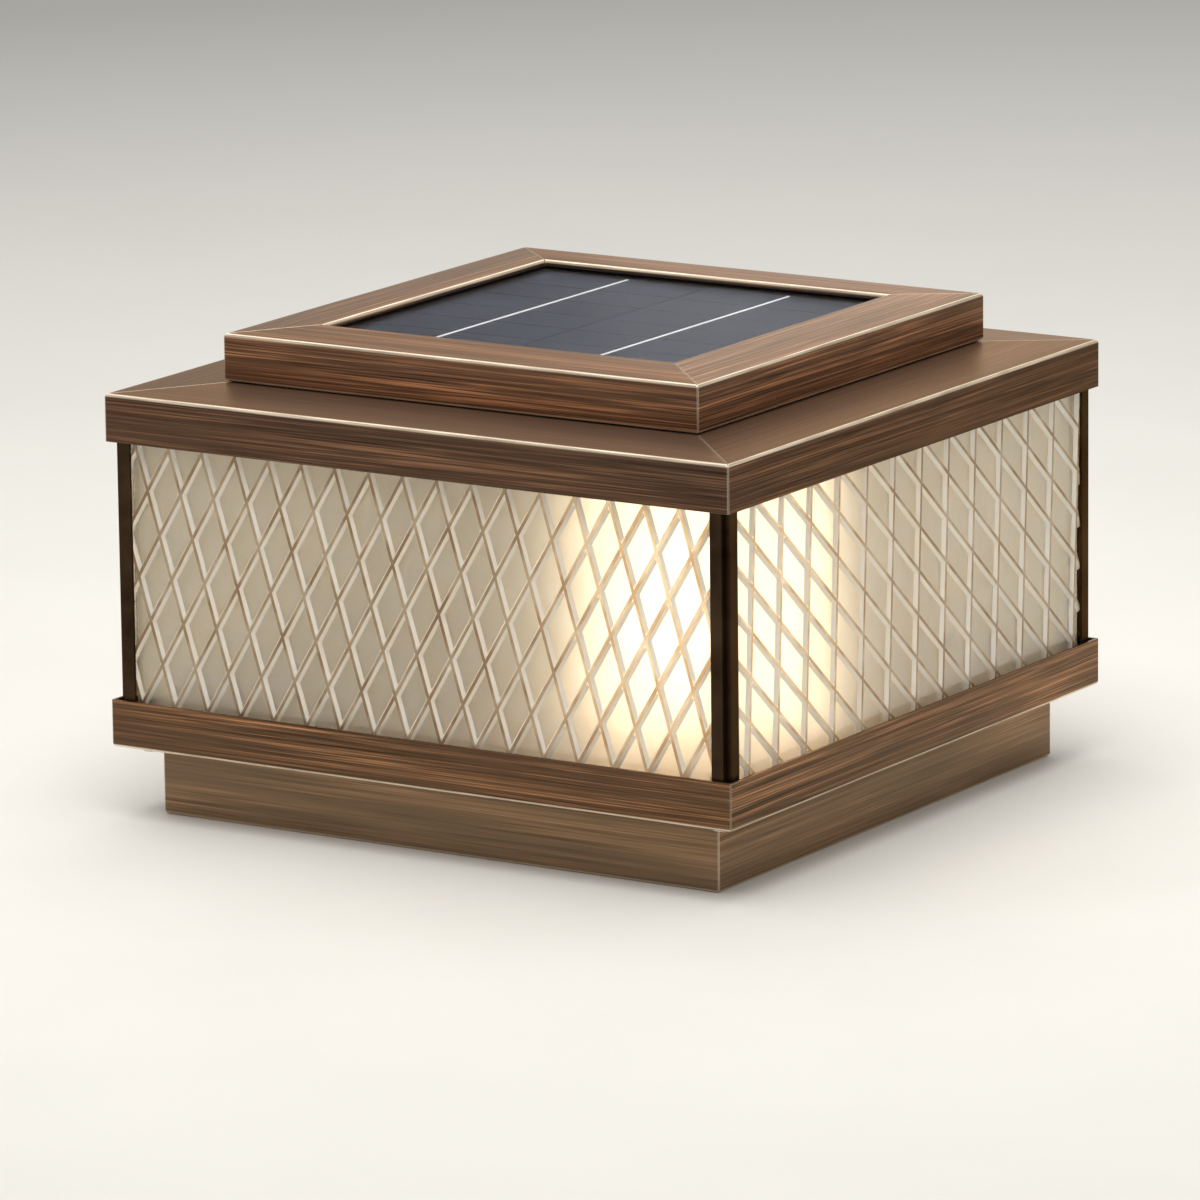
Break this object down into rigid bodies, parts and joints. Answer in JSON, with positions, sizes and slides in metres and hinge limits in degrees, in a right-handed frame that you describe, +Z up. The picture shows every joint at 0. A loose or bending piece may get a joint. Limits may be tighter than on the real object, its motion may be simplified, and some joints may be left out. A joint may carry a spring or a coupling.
{
  "type": "solar pillar light",
  "caption": "Square solar pillar light: bronze plinth, band and canopy round diamond-ribbed glass panes, with a lift-off solar head that carries the panel, battery and lamp.",
  "frame": {"origin": "centre of the plinth's underside, on the surface that the light stands on", "axes": "+Z up, -Y out of the front pane, +X out of the right pane"},
  "size_m": [0.3, 0.3, 0.2031],
  "materials": {
    "bronze": "brushed antique bronze plating on folded steel sheet",
    "post_bronze": "dark bronze paint",
    "pressed_glass": "pressed glass, ribbed outside and satin inside",
    "panel_glass": "clear",
    "silicon": "dark blue-grey",
    "ribbon": "tinned",
    "zinc_plate": "zinc plated",
    "aluminium": "mill",
    "stainless": "plain",
    "rubber": "matt",
    "foam": "foam tape",
    "black_plastic": "moulded",
    "white_plastic": "moulded",
    "circuit_board": "solder mask",
    "battery_wrap": "shrink wrap",
    "contact_metal": "nickel plated",
    "wire": "insulated",
    "opal": "opal, lit",
    "led": "phosphor",
    "button": "moulded"
  },
  "bodies": {
    "lantern_body": {"plinth": "bronze", "base_plate": "zinc_plate", "base_plate_screws": "stainless", "floor_tray": "bronze", "floor_screws": "stainless", "lower_glazing_frame": "aluminium", "lower_pane_gaskets": "rubber", "upper_glazing_frame": "aluminium", "upper_pane_gaskets": "rubber", "post_front_right": "post_bronze", "post_back_right": "post_bronze", "post_back_left": "post_bronze", "post_front_left": "post_bronze", "lower_post_screws": "stainless", "upper_post_screws": "stainless", "pane_front": "pressed_glass", "pane_right": "pressed_glass", "pane_back": "pressed_glass", "pane_left": "pressed_glass", "canopy": "bronze", "canopy_studs": "stainless", "canopy_nuts": "stainless", "collar_trim": "rubber"},
    "solar_head": {"solar_frame": "bronze", "panel_seal": "rubber", "panel_glass": "panel_glass", "cell_ribbons": "ribbon", "solar_cells": "silicon", "panel_backboard": "black_plastic", "panel_pads": "foam", "head_tray": "black_plastic", "frame_standoffs": "aluminium", "tray_screws": "stainless", "engine_housing": "black_plastic", "housing_screws": "stainless", "battery_holder": "black_plastic", "battery_cells": "battery_wrap", "battery_contacts": "contact_metal", "controller_board": "circuit_board", "board_screws": "stainless", "board_components": "black_plastic", "lead_grommet": "rubber", "panel_leads": "wire", "engine_cover": "black_plastic", "cover_screws": "stainless", "switch_body": "black_plastic", "switch_bezel": "black_plastic", "switch_leads": "wire", "lamp_collar": "white_plastic", "lamp_screws": "stainless", "lamp_tube": "opal", "lamp_end_cap": "opal", "led_column": "aluminium", "led_strips": "white_plastic", "led_chips": "led", "led_cable": "wire"},
    "power_button": {"button_cap": "button"}
  },
  "joints": [
    {"name": "head_lift", "type": "slide", "parent": "lantern_body", "child": "solar_head", "axis": [0, 0, 1], "range_m": [0, 0.16]},
    {"name": "button_press", "type": "slide", "parent": "solar_head", "child": "power_button", "axis": [0, 0, 1], "range_m": [0, 0.0018], "stiffness_N_per_m": 600, "springref_m": -0.0008}
  ]
}
